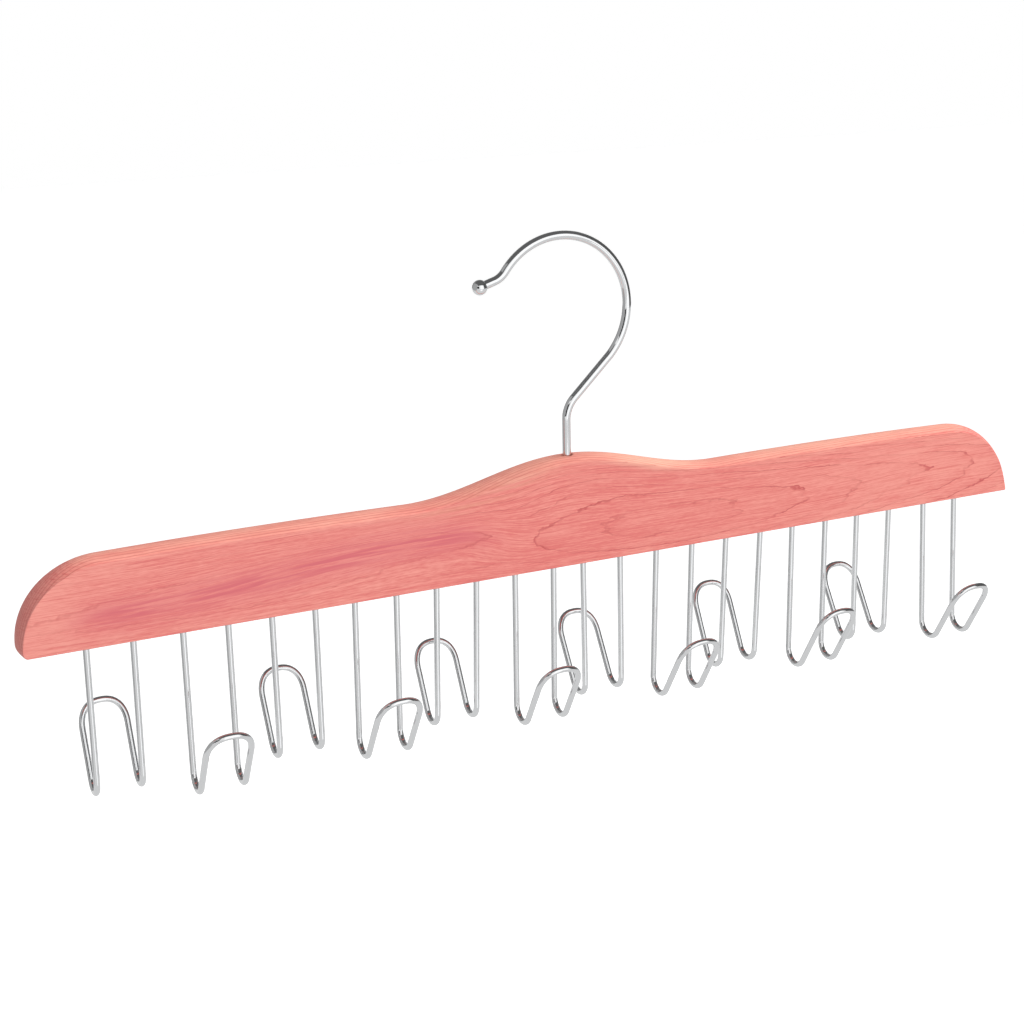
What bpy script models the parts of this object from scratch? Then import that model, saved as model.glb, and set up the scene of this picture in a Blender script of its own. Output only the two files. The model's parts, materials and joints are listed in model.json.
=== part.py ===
"""Belt hanger: a cedar bar under a swivel hook, with a row of wire belt hooks on its lower edge.

Lengths are in metres and +Z is up. The origin is the rod seat, the point inside the swivel hook that
rests on the closet rod, straight above the swivel's axis. X runs along the bar, the ball tip is on
the -X side, and the front of the bar faces -Y.
"""

import math

import bmesh
import bpy

# Cedar bar, as it is seen from the front
BAR_LENGTH = 0.445
BAR_THICKNESS = 0.014
SHOULDER_HEIGHT = 0.0341
SHOULDER_CREST = 0.124
SHOULDER_FALL = 0.0006
HUMP_RISE = 0.0114
HUMP_LENGTH = 0.139
END_ROUND_LENGTH = 0.0325
LOWER_CORNER_RADIUS = 0.0033
TOP_CROWN = 0.0018
END_CROWN = 0.0023
END_CROWN_PLACE = 0.202
END_CROWN_REACH = 0.03
FOOT_CROWN_LOSS_SHARE = 0.55
FOOT_CROWN_REACH = 0.006

# Swivel hook, a bent wire with a ball on its tip and an upset head on its lower end
SEAT_HEIGHT = 0.1317
SWIVEL_WIRE_DIAMETER = 0.0035
HOOK_RADIUS = 0.0295
HOOK_OFFSET = 0.0017
HOOK_SLANT = math.radians(46)
STEM_BEND_RADIUS = 0.0125
TIP_BEND_START = math.radians(144)
TIP_BEND_RADIUS = 0.009
TIP_SLOPE = math.radians(17)
TIP_STRAIGHT = 0.0042
BALL_DIAMETER = 0.006
BALL_BORE_DEPTH = 0.0024
HEAD_DIAMETER = 0.0062
HEAD_THICKNESS = 0.0016

# Washer that the head carries, up in a counterbore from the bar's lower edge
WASHER_DIAMETER = 0.0086
WASHER_THICKNESS = 0.001
COUNTERBORE_DEPTH = 0.016
STEM_CLEARANCE = 0.0005

# Belt hooks, each a hairpin of wire folded up into a cradle
HOOK_CENTRE_SHARES = (0.0707, 0.2247, 0.3813, 0.5313, 0.6878, 0.8494)
LEG_SPACING = 0.0174
LEG_ROW_OFFSET = 0.0004
BELT_WIRE_DIAMETER = 0.0025
LEG_HOLE_DEPTH = 0.015
LEG_LEAN = math.radians(2.3)
LEAN_START = 0.002
BELT_HOOK_DROP = 0.0645
CRADLE_RADIUS = 0.006
LIP_LEAN = math.radians(30.2)
LIP_HEIGHT = 0.0283
LIP_ARCH_RISE = 0.011
LIP_SQUARENESS = 2.4

# Gap between touching pieces, overrun of a cut, and fineness of curves
FIT = 0.0003
OVERRUN = 0.002
BEND_STEP = math.radians(12)
TOP_STEP = 0.0055
END_STEPS = 12
CORNER_STEPS = 4
CROWN_STEPS = 3
ARCH_STEPS = 12
HOLE_SIDES = 12
TURNED_SIDES = 24
BALL_STEPS = 10

SWIVEL_WIRE_RADIUS = SWIVEL_WIRE_DIAMETER / 2
BELT_WIRE_RADIUS = BELT_WIRE_DIAMETER / 2
BALL_RADIUS = BALL_DIAMETER / 2
BALL_BORE_RADIUS = SWIVEL_WIRE_RADIUS + FIT

CEDAR = (0.80, 0.33, 0.27)
CHROME = (0.80, 0.81, 0.82)
ZINC = (0.62, 0.63, 0.65)


def clear_scene():
    """Remove every object that the scene starts with."""
    for item in list(bpy.data.objects):
        bpy.data.objects.remove(item, do_unlink=True)


def make_finish(name, colour, roughness, metallic):
    """Return a Principled BSDF material."""
    finish = bpy.data.materials.new(name)
    finish.use_nodes = True
    inputs = finish.node_tree.nodes["Principled BSDF"].inputs
    inputs["Base Color"].default_value = (*colour, 1.0)
    inputs["Roughness"].default_value = roughness
    inputs["Metallic"].default_value = metallic
    return finish


def make_empty(name, height):
    """Return an empty on the swivel's axis."""
    empty = bpy.data.objects.new(name, None)
    empty.location = (0, 0, height)
    bpy.context.collection.objects.link(empty)
    return empty


def add_object(name, data, parent):
    """Link an object that carries the mesh or curve and rides on its parent."""
    item = bpy.data.objects.new(name, data)
    item.parent = parent
    bpy.context.collection.objects.link(item)
    return item


def mesh_from(name, bm):
    """Turn a bmesh into a mesh with its faces pointing out."""
    bmesh.ops.recalc_face_normals(bm, faces=bm.faces)
    mesh = bpy.data.meshes.new(name)
    bm.to_mesh(mesh)
    bm.free()
    return mesh


def shade(item, finish, sharp_angle):
    """Give a mesh object its finish and smooth shading that keeps its corners."""
    item.data.materials.append(finish)
    item.data.shade_smooth()
    item.data.set_sharp_from_angle(angle=sharp_angle)


def arc(centre, radius, start, end):
    """Return points along an arc from one angle to another, both ends included."""
    steps = max(2, math.ceil(abs(end - start) / BEND_STEP))
    angles = [start + (end - start) * step / steps for step in range(steps + 1)]
    return [(centre[0] + radius * math.cos(a), centre[1] + radius * math.sin(a)) for a in angles]


def circumscribed(radius, sides):
    """Return the corner radius of a regular polygon whose flats lie on the given radius."""
    return radius / math.cos(math.pi / sides)


def wire(name, centreline, diameter, parent, finish, swells=None):
    """Return a round wire along a line of points; swells widen it at chosen points."""
    curve = bpy.data.curves.new(name, "CURVE")
    curve.dimensions = "3D"
    curve.bevel_depth = diameter / 2
    curve.bevel_resolution = 2
    curve.use_fill_caps = True
    spline = curve.splines.new("POLY")
    spline.points.add(len(centreline) - 1)
    factors = swells or [1.0] * len(centreline)
    for point, place, factor in zip(spline.points, centreline, factors):
        point.co = (*place, 1)
        point.radius = factor
    spline.use_smooth = True
    curve.materials.append(finish)
    return add_object(name, curve, parent)


def turned(name, profile, sides, closed):
    """Return a mesh turned about Z from a profile of (radius, height) points."""
    bm = bmesh.new()
    verts = [bm.verts.new((radius, 0, height)) for radius, height in profile]
    edges = [bm.edges.new(pair) for pair in zip(verts, verts[1:])]
    if closed:
        edges.append(bm.edges.new((verts[-1], verts[0])))
    bmesh.ops.spin(bm, geom=verts + edges, axis=(0, 0, 1), cent=(0, 0, 0), angle=2 * math.pi,
                   steps=sides, use_merge=True)
    bmesh.ops.remove_doubles(bm, verts=bm.verts, dist=FIT / 100)
    return mesh_from(name, bm)


def cutter(name, mesh, parent):
    """Return a hidden object that only cuts another."""
    tool = add_object(name, mesh, parent)
    tool.hide_render = True
    tool.display_type = "WIRE"
    return tool


def cut(item, tool):
    """Take one object's shape out of another's."""
    modifier = item.modifiers.new(tool.name, "BOOLEAN")
    modifier.operation = "DIFFERENCE"
    modifier.object = tool


def hook_places():
    """Return each belt hook's place along the bar, its row and its turn, from left to right."""
    right = [share * BAR_LENGTH / 2 for share in HOOK_CENTRE_SHARES]
    left = [-place for place in reversed(right)]
    places = []
    for number, centre in enumerate(left + right):
        faces_front = number % 2 == 1
        row = -LEG_ROW_OFFSET if faces_front else LEG_ROW_OFFSET
        places.append((centre, row, math.pi if faces_front else 0))
    return places


def bar_height(x):
    """Return the height of the bar's top edge between its rounded ends."""
    foot = HUMP_LENGTH / 2
    reach = BAR_LENGTH / 2 - END_ROUND_LENGTH - SHOULDER_CREST
    beside = max(abs(x), foot) - SHOULDER_CREST
    height = SHOULDER_HEIGHT - SHOULDER_FALL * (beside / reach) ** 2
    if abs(x) < foot:
        height += HUMP_RISE * (1 + math.cos(math.pi * x / foot)) / 2
    return height


def edge_crown(x, z):
    """Return the height of the crown across the edge: most by the ends' tops, less at their feet."""
    beside = (x - END_CROWN_PLACE) / END_CROWN_REACH
    crown = TOP_CROWN + (END_CROWN - TOP_CROWN) * math.exp(-beside ** 2)
    return crown * (1 - FOOT_CROWN_LOSS_SHARE * math.exp(-z / FOOT_CROWN_REACH))


def bar_outline():
    """Return the outline at mid thickness, each point as x, height and crown, anticlockwise from below."""
    half = BAR_LENGTH / 2
    corner_x = half - LOWER_CORNER_RADIUS
    round_x = half - END_ROUND_LENGTH
    round_rise = bar_height(round_x) - LOWER_CORNER_RADIUS
    points = []
    for step in range(CORNER_STEPS):
        share = step / CORNER_STEPS
        angle = math.pi / 2 * (share - 1)
        x = corner_x + LOWER_CORNER_RADIUS * math.cos(angle)
        z = LOWER_CORNER_RADIUS * (1 + math.sin(angle))
        points.append((x, z, edge_crown(x, z)))
    for step in range(END_STEPS):
        share = step / END_STEPS
        angle = math.pi / 2 * share
        x = round_x + END_ROUND_LENGTH * math.cos(angle)
        z = LOWER_CORNER_RADIUS + round_rise * math.sin(angle)
        points.append((x, z, edge_crown(x, z)))
    top_steps = round(round_x / TOP_STEP)
    for step in range(top_steps):
        x = round_x * (1 - step / top_steps)
        z = bar_height(x)
        points.append((x, z, edge_crown(x, z)))
    mirrored = [(-x, z, crown) for x, z, crown in reversed(points)]
    return points + [(0, bar_height(0), TOP_CROWN)] + mirrored


def crowned_ring(outline, share):
    """Return the outline at this share of the way from mid thickness to a face, with its foot kept flat."""
    count = len(outline)
    ring = []
    for index, (x, z, crown) in enumerate(outline):
        before = outline[index - 1]
        after = outline[(index + 1) % count]
        run = math.hypot(after[0] - before[0], after[1] - before[1])
        inward_x = (before[1] - after[1]) / run
        inward_z = (after[0] - before[0]) / run
        depth = crown * share ** 2
        ring.append((x + inward_x * depth, share * BAR_THICKNESS / 2, z + min(inward_z, 0) * depth))
    return ring


def bar_blank():
    """Return the bar's mesh before drilling: its outline given a thickness and crowned edges."""
    outline = bar_outline()
    bm = bmesh.new()
    rings = []
    for step in range(-CROWN_STEPS, CROWN_STEPS + 1):
        rings.append([bm.verts.new(place) for place in crowned_ring(outline, step / CROWN_STEPS)])
    for ring, following in zip(rings, rings[1:]):
        for index in range(len(ring)):
            before = index - 1
            bm.faces.new((ring[before], ring[index], following[index], following[before]))
    bm.faces.new(rings[0])
    bm.faces.new(rings[-1])
    return mesh_from("cedar_bar", bm)


def leg_hole_mesh():
    """Return one cylinder for each leg of the belt hooks, standing in the bar's lower edge."""
    bm = bmesh.new()
    radius = circumscribed(BELT_WIRE_RADIUS + FIT, HOLE_SIDES)
    depth = LEG_HOLE_DEPTH + OVERRUN
    for centre, row, _ in hook_places():
        for side in (-1, 1):
            made = bmesh.ops.create_cone(bm, cap_ends=True, segments=HOLE_SIDES, radius1=radius,
                                         radius2=radius, depth=depth)
            place = (centre + side * LEG_SPACING / 2, row, depth / 2 - OVERRUN)
            bmesh.ops.translate(bm, verts=made["verts"], vec=place)
    return mesh_from("leg_holes", bm)


def stem_bore_mesh():
    """Return the stem's bore with its counterbore, from below the bar to above the hump."""
    stem_hole = circumscribed(SWIVEL_WIRE_RADIUS + STEM_CLEARANCE, TURNED_SIDES)
    counterbore = circumscribed(WASHER_DIAMETER / 2 + FIT, TURNED_SIDES)
    top = bar_height(0) + OVERRUN
    profile = [(0, -OVERRUN), (counterbore, -OVERRUN), (counterbore, COUNTERBORE_DEPTH),
               (stem_hole, COUNTERBORE_DEPTH), (stem_hole, top), (0, top)]
    return turned("stem_bore", profile, TURNED_SIDES, closed=False)


def make_bar(parent):
    """Make the cedar bar with its bore and its leg holes."""
    bar = add_object("cedar_bar", bar_blank(), parent)
    shade(bar, make_finish("cedar", CEDAR, 0.55, 0.0), math.radians(35))
    cut(bar, cutter("leg_hole_cutter", leg_hole_mesh(), parent))
    cut(bar, cutter("stem_bore_cutter", stem_bore_mesh(), parent))


def make_washer(parent):
    """Make the washer that turns on the stem's head, just under the counterbore's roof."""
    inner = circumscribed(SWIVEL_WIRE_RADIUS + FIT, TURNED_SIDES)
    outer = WASHER_DIAMETER / 2
    top = COUNTERBORE_DEPTH - FIT
    base = top - WASHER_THICKNESS
    profile = [(inner, base), (outer, base), (outer, top), (inner, top)]
    washer = add_object("hook_washer", turned("hook_washer", profile, TURNED_SIDES, closed=True), parent)
    shade(washer, make_finish("zinc_plate", ZINC, 0.4, 1.0), math.radians(35))


def hook_centre():
    """Return the centre of the round hook, which puts its inside through the origin."""
    inside = HOOK_RADIUS - SWIVEL_WIRE_RADIUS
    return -HOOK_OFFSET, -math.sqrt(inside ** 2 - HOOK_OFFSET ** 2)


def stem_bend():
    """Return the stem's bend from upright to the slant that meets the round hook."""
    centre_x, centre_z = hook_centre()
    touch_x = centre_x + HOOK_RADIUS * math.cos(HOOK_SLANT)
    touch_z = centre_z - HOOK_RADIUS * math.sin(HOOK_SLANT)
    corner_z = touch_z - touch_x / math.tan(HOOK_SLANT)
    start_z = corner_z - STEM_BEND_RADIUS * math.tan(HOOK_SLANT / 2)
    return arc((STEM_BEND_RADIUS, start_z), STEM_BEND_RADIUS, math.pi, math.pi - HOOK_SLANT)


def tip_bend():
    """Return the bend that kicks the hook's tip outward."""
    centre_x, centre_z = hook_centre()
    reach = HOOK_RADIUS + TIP_BEND_RADIUS
    bend_x = centre_x + reach * math.cos(TIP_BEND_START)
    bend_z = centre_z + reach * math.sin(TIP_BEND_START)
    heading = math.pi / 2 + TIP_SLOPE
    return arc((bend_x, bend_z), -TIP_BEND_RADIUS, TIP_BEND_START, heading)


def tip_point(distance):
    """Return the point this far beyond the tip's bend."""
    bend_x, bend_z = tip_bend()[-1]
    return bend_x - distance * math.cos(TIP_SLOPE), bend_z - distance * math.sin(TIP_SLOPE)


def make_swivel_hook(parent):
    """Make the swivel hook's wire, from its upset head to its tip inside the ball."""
    head_top = COUNTERBORE_DEPTH - WASHER_THICKNESS - 2 * FIT - SEAT_HEIGHT
    head_base = head_top - HEAD_THICKNESS
    head = [(0, head_base), (0, head_top), (0, head_top + FIT / 3)]
    swell = HEAD_DIAMETER / SWIVEL_WIRE_DIAMETER
    round_hook = arc(hook_centre(), HOOK_RADIUS, -HOOK_SLANT, TIP_BEND_START)
    wire_end = [tip_point(TIP_STRAIGHT + BALL_BORE_DEPTH - FIT)]
    line = head + stem_bend() + round_hook + tip_bend()[1:] + wire_end
    swells = [swell, swell, 1.0] + [1.0] * (len(line) - len(head))
    places = [(x, 0, z) for x, z in line]
    finish = make_finish("hook_chrome", CHROME, 0.08, 1.0)
    hook = wire("swivel_hook", places, SWIVEL_WIRE_DIAMETER, parent, finish, swells)
    hook.data.bevel_resolution = 4


def make_ball(parent):
    """Make the ball on the hook's tip, with the blind bore that its wire sits in."""
    mouth = math.asin(BALL_BORE_RADIUS / BALL_RADIUS)
    mouth_height = BALL_RADIUS * math.cos(mouth)
    outside = []
    for step in range(BALL_STEPS + 1):
        angle = math.pi + (mouth - math.pi) * step / BALL_STEPS
        outside.append((BALL_RADIUS * math.sin(angle), BALL_RADIUS * math.cos(angle)))
    outside[0] = (0, -BALL_RADIUS)
    floor = mouth_height - BALL_BORE_DEPTH
    profile = outside + [(BALL_BORE_RADIUS, floor), (0, floor)]
    ball = add_object("hook_tip_ball", turned("hook_tip_ball", profile, TURNED_SIDES, closed=False), parent)
    centre_x, centre_z = tip_point(TIP_STRAIGHT + mouth_height)
    ball.location = (centre_x, 0, centre_z)
    ball.rotation_euler = (0, math.pi / 2 - TIP_SLOPE, 0)
    shade(ball, make_finish("ball_chrome", CHROME, 0.08, 1.0), math.radians(35))


def cradle_side():
    """Return one leg of a belt hook and its rise to the lip, as (outward, height) points."""
    centre_height = BELT_WIRE_RADIUS + CRADLE_RADIUS - BELT_HOOK_DROP
    bend_start = centre_height - CRADLE_RADIUS * math.sin(LEG_LEAN)
    offset = (-LEAN_START - bend_start) * math.tan(LEG_LEAN)
    centre = (offset + CRADLE_RADIUS * math.cos(LEG_LEAN), centre_height)
    bend = arc(centre, CRADLE_RADIUS, math.pi + LEG_LEAN, 2 * math.pi - LIP_LEAN)
    rise = BELT_WIRE_RADIUS - BELT_HOOK_DROP + LIP_HEIGHT - bend[-1][1]
    straight = rise / math.cos(LIP_LEAN) - LIP_ARCH_RISE
    lip = (bend[-1][0] + straight * math.sin(LIP_LEAN), bend[-1][1] + straight * math.cos(LIP_LEAN))
    leg = [(0, LEG_HOLE_DEPTH - FIT), (0, -LEAN_START)]
    return leg + bend + [lip]


def lip_arch(start):
    """Return the inner points of the arch that joins a belt hook's two sides, from left to right."""
    points = []
    for step in range(1, ARCH_STEPS):
        angle = math.pi * (1 - step / ARCH_STEPS)
        across = abs(math.cos(angle)) ** (2 / LIP_SQUARENESS)
        along = LIP_ARCH_RISE * math.sin(angle) ** (2 / LIP_SQUARENESS)
        x = math.copysign(across, math.cos(angle)) * LEG_SPACING / 2
        points.append((x, start[0] + along * math.sin(LIP_LEAN), start[1] + along * math.cos(LIP_LEAN)))
    return points


def make_belt_hooks(parent):
    """Make the belt hooks, which face the back and the front by turns."""
    side = cradle_side()
    left = [(-LEG_SPACING / 2, y, z) for y, z in side]
    right = [(LEG_SPACING / 2, y, z) for y, z in reversed(side)]
    places = left + lip_arch(side[-1]) + right
    for number, (centre, row, turn) in enumerate(hook_places(), start=1):
        name = f"belt_hook_{number:02d}"
        finish = make_finish(f"{name}_chrome", CHROME, 0.1, 1.0)
        hook = wire(name, places, BELT_WIRE_DIAMETER, parent, finish)
        hook.location = (centre, row, 0)
        hook.rotation_euler = (0, 0, turn)


def main():
    """Build the belt hanger."""
    clear_scene()
    rod_seat = make_empty("rod_seat", 0)
    swivel_axis = make_empty("swivel_axis", -SEAT_HEIGHT)
    make_swivel_hook(rod_seat)
    make_ball(rod_seat)
    make_bar(swivel_axis)
    make_washer(swivel_axis)
    make_belt_hooks(swivel_axis)


if __name__ == "__main__":
    main()
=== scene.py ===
"""Looks of a belt hanger: a cedar bar, a chromed swivel hook and a row of wire belt hooks.

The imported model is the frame, and each piece here stands for one of its nodes. Lengths are in
metres, +Z is up and the origin is the rod seat inside the swivel hook. X runs along the bar and
its front faces -Y.
"""

import json
import math

import bmesh
import bpy
from bpy.props import FloatProperty, FloatVectorProperty, IntProperty, PointerProperty
from mathutils import Matrix, Vector

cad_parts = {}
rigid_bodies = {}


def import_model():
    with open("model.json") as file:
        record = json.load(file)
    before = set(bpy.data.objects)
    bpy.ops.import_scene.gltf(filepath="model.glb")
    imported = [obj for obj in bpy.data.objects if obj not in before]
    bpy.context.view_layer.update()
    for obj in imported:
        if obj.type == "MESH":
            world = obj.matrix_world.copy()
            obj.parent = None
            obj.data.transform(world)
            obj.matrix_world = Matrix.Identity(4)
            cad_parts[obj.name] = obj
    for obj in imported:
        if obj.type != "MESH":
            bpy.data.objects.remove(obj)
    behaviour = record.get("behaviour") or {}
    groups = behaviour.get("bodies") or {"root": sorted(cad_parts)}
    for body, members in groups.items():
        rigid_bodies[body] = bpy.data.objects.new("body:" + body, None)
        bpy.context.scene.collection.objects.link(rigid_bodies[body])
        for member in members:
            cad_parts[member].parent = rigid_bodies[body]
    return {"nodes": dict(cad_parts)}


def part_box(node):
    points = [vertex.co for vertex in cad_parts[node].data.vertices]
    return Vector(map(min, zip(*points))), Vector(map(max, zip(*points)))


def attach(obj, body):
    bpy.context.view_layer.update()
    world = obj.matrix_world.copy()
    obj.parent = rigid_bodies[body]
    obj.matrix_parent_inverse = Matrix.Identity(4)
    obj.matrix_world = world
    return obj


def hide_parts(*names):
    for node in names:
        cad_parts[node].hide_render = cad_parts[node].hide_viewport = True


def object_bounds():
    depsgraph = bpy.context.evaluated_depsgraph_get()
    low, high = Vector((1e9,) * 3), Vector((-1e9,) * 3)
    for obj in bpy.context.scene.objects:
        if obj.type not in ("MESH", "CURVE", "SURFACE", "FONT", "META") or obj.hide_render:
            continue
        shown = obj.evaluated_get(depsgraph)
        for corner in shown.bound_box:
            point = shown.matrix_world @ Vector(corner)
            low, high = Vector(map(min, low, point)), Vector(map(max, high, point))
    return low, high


bl_info = {
    "name": "Belt hanger",
    "version": (1, 0, 0),
    "blender": (4, 5, 0),
    "location": "View3D > Sidebar > Hanger",
    "description": "Builds a cedar belt hanger with a swivel hook and wire belt hooks",
    "category": "Object",
}

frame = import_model()
CAD_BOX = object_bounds()
BAR_LOW, BAR_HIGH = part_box("cedar_bar")
WASHER_LOW, WASHER_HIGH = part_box("hook_washer")
BELT_HOOKS = sorted(name for name in frame["nodes"] if name.startswith("belt_hook_"))

# How the belt hooks differ by hand bending, from left to right: sideways lean and extra lean of the
# lip in degrees, extra height of the lip in millimetres
SIDE_LEANS = (-0.7, -1.05, 0.4, -1.9, -0.65, -1.7, 1.6, -2.6, -0.3, -1.8, 2.0, 0.8)
LIP_BENDS = (-1.2, -0.1, -1.9, -0.3, 0.5, -1.1, -0.5, -0.7, -2.1, -1.1, 0.0, -0.3)
LIP_STRETCHES = (0.2, -0.1, -0.4, 0.1, -0.9, -0.6, 0.3, -0.7, 1.5, 0.8, -0.4, 0.1)

MILLIMETRES = 1000
WHITE = (1, 1, 1, 1)
WIRE_PLACE = "wire_place"

# Gap between pieces that touch, overrun of a cut past a surface, and gap round the turning stem
FIT = 0.0003
OVERRUN = 0.002
STEM_CLEARANCE = 0.0005

# How finely bends are drawn, which corners stay sharp and which points of a turned shape are one
ARC_STEP = math.radians(3)
SHARP_ANGLE = math.radians(40)
MERGE_DISTANCE = 1e-6

# Figure of the wood, in millimetres from the bar's middle, its lower edge and its front face. A
# profile is a start, its rises as an amount and the two places between which each comes, and its
# hills as an amount, a centre and a width. A SPREAD is a hill's centre and width alone.
RIDGE = (11.5, ((8.5, -190, -62), (-7.0, -52, -18), (4.0, 85, 190)))
RIDGE_SPREAD = (16, 10)
HUMP_LIFT = 6.5
HUMP_SPREAD = (0, 40)
HUMP_BETWEEN = (14, 36)
PITH_HEIGHT = 13
PITH_DEPTH = 52.1
STRAIGHT_START = 55
STRAIGHT_SLOPE = 0.9
STRAIGHT_CENTRE = -125
ARCHED_SLOPE = 3.1
ARCHED_CENTRE = 45
ARCHED_BETWEEN = (-46, -14)
BEND_WIDTH = 40
RING_HILLS = ((14, -30, 14), (-30, 190, 22))
LINES_BETWEEN = (-70, -10)
EDGE_RING_SPACING = 1.15
STREAK_START_BETWEEN = (-212, -180)
STREAK_END_BETWEEN = (-62, -24)
STREAK_WIDTH = 6.5
STREAK_CORE_WIDTH = 2.2
# The pale band under the top edge is real pale outer wood, and also a painted highlight where light
# from above falls on the top
SAP_AND_HIGHLIGHT_HEIGHT = 33.5
SAP_AND_HIGHLIGHT_HUMP = (11.0, 0, 34)
SAP_AND_HIGHLIGHT_FADE = 4.5
SAP_AND_HIGHLIGHT_AMOUNT = (0.65, ((0.3, 60, 110),), ((0.35, 45, 38), (-0.25, -38, 30)))
TAN_SPREAD = (-38, 30)
TAN_HEIGHT_SPREAD = (-2.1, 3.5)
TONE = (0.84, ((-0.3, -212, -185), (0.22, 70, 170)), ((-0.18, 0, 70),))
# Painted shade on the line where the crowned edge meets the face: full left of the first place,
# gone past the second
CREASE_SHADE_BETWEEN = (-185, -120)

# How far the surface faces along the bar or to its front, as shares, where other wood shows, and
# where painted shade darkens the line between the crowned edge and the face
EDGE_SHARES = (0.55, 0.97)
END_GRAIN_SHARES = (0.20, 0.75)
CREASE_SHADE_SPREAD_SHARES = (0.74, 0.13)

# Where a growth ring darkens, as shares of its width
LINE_RISE_SHARES = ((0.15, 0.30, 0.95), (0.85, 0.87, 0.95))
LINE_END_SHARES = (0.96, 1.0)
EDGE_LINE_RISE_SHARES = (0.60, 0.90)
EDGE_LINE_END_SHARES = (0.90, 1.0)


class Value:
    """A socket's value; an expression on it adds Math nodes."""

    def __init__(self, socket):
        self.socket = socket

    def maths(self, operation, *terms):
        """Add one Math node on these terms, in their order."""
        nodes = Nodes(self.socket.id_data)
        sockets = dict(zip(("Value", "Value_001"), terms))
        return nodes.add("ShaderNodeMath", "Value", {"operation": operation}, sockets)

    def __add__(self, other):
        return self.maths("ADD", self, other)

    def __radd__(self, other):
        return self.maths("ADD", other, self)

    def __sub__(self, other):
        return self.maths("SUBTRACT", self, other)

    def __rsub__(self, other):
        return self.maths("SUBTRACT", other, self)

    def __mul__(self, other):
        return self.maths("MULTIPLY", self, other)

    def __rmul__(self, other):
        return self.maths("MULTIPLY", other, self)

    def __truediv__(self, other):
        return self.maths("DIVIDE", self, other)

    def __abs__(self):
        return self.maths("ABSOLUTE", self)

    def fraction(self):
        """Return the part past the whole number."""
        return self.maths("FRACT", self)

    def whole(self):
        """Return the whole number below."""
        return self.maths("FLOOR", self)

    def root(self):
        """Return the square root."""
        return self.maths("SQRT", self)

    def at_least(self, other):
        """Return the larger of the two."""
        return self.maths("MAXIMUM", self, other)

    def hill(self, centre, width):
        """Return a smooth hill of height 1 round a centre."""
        away = (self - centre) / width
        return self.maths("EXPONENT", -1 * (away * away))

    def step(self, low, high):
        """Return a smooth step from 0 at low to 1 at high."""
        nodes = Nodes(self.socket.id_data)
        return nodes.add("ShaderNodeMapRange", "Result", {"interpolation_type": "SMOOTHSTEP"},
                         {"Value": self, "From Min": low, "From Max": high})

    def profile(self, start, rises=(), hills=()):
        """Return a start value with its rises and hills along this one."""
        total = start
        for amount, low, high in rises:
            total = total + amount * self.step(low, high)
        for amount, centre, width in hills:
            total = total + amount * self.hill(centre, width)
        return total

    def lifted(self, least):
        """Return a value that runs from this least value to 1 where the old one ran from 0 to 1."""
        return least + (1 - least) * self

    def signed(self):
        """Return a noise about zero instead of about a half."""
        return self - 0.5


class Nodes:
    """Adds nodes to one tree."""

    def __init__(self, tree):
        self.tree = tree

    def add(self, kind, output=None, settings=None, sockets=None):
        """Add a node, with its settings before its sockets, and return one output or the node."""
        node = self.tree.nodes.new(kind)
        for name, value in (settings or {}).items():
            setattr(node, name, value)
        for name, value in (sockets or {}).items():
            self.feed(node, name, value)
        return node if output is None else Value(node.outputs[output])

    def feed(self, node, name, value):
        """Link or set the input that has this name or identifier."""
        socket = next(s for s in node.inputs if name in (s.identifier, s.name))
        if isinstance(value, Value):
            self.tree.links.new(value.socket, socket)
        else:
            socket.default_value = value

    def vector(self, x, y, z):
        """Return a vector of three values."""
        return self.add("ShaderNodeCombineXYZ", "Vector", sockets={"X": x, "Y": y, "Z": z})

    def noise(self, place, detail=2.0, scale=1.0):
        """Return a noise between 0 and 1."""
        sockets = {"Vector": place, "Scale": scale, "Detail": detail}
        return self.add("ShaderNodeTexNoise", "Fac", sockets=sockets)

    def blend(self, factor, first, second):
        """Return a colour between two others."""
        sockets = {"Factor_Float": factor, "A_Color": first, "B_Color": second}
        return self.add("ShaderNodeMix", "Result", {"data_type": "RGBA"}, sockets)

    def split(self, vector):
        """Return a vector's three values."""
        node = self.add("ShaderNodeSeparateXYZ", sockets={"Vector": vector})
        return [Value(socket) for socket in node.outputs]

    def place(self):
        """Return the place on the object in millimetres, as three values."""
        spot = self.add("ShaderNodeTexCoord", "Object")
        return [value * MILLIMETRES for value in self.split(spot)]

    def relief(self, shader, height, strength, distance):
        """Give a shader a slight relief."""
        sockets = {"Strength": strength, "Distance": distance, "Height": height}
        self.feed(shader, "Normal", self.add("ShaderNodeBump", "Normal", sockets=sockets))

    def surface(self, value):
        """Make this the surface that the material shows."""
        output = next(node for node in self.tree.nodes if node.type == "OUTPUT_MATERIAL")
        self.feed(output, "Surface", value)

    def seen(self):
        """Return 1 for the camera's rays and for those that metal or glass passes on, else 0."""
        rays = self.add("ShaderNodeLightPath")
        camera, glossy, passed = [Value(rays.outputs[f"Is {kind} Ray"])
                                  for kind in ("Camera", "Glossy", "Transmission")]
        return camera.at_least(glossy).at_least(passed)

    def store(self, geometry, name, value, kind="FLOAT_VECTOR"):
        """Keep a value on a geometry under a name."""
        return self.add("GeometryNodeStoreNamedAttribute", "Geometry", {"data_type": kind},
                        {"Geometry": geometry, "Name": name, "Value": value})

    def stored(self, name, kind="FLOAT_VECTOR"):
        """Return the value that a geometry keeps under a name."""
        return self.add("GeometryNodeInputNamedAttribute", "Attribute", {"data_type": kind},
                        {"Name": name})


def opaque(colour):
    """Return a colour with full alpha."""
    return (*colour, 1.0)


def new_finish(name):
    """Return a material, its node adder and its shader."""
    finish = bpy.data.materials.new(name)
    finish.use_nodes = True
    return finish, Nodes(finish.node_tree), finish.node_tree.nodes["Principled BSDF"]


def length_setting(name, description, default):
    """Return a setting in metres."""
    return FloatProperty(name=name, description=description, default=default, unit="LENGTH")


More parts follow.
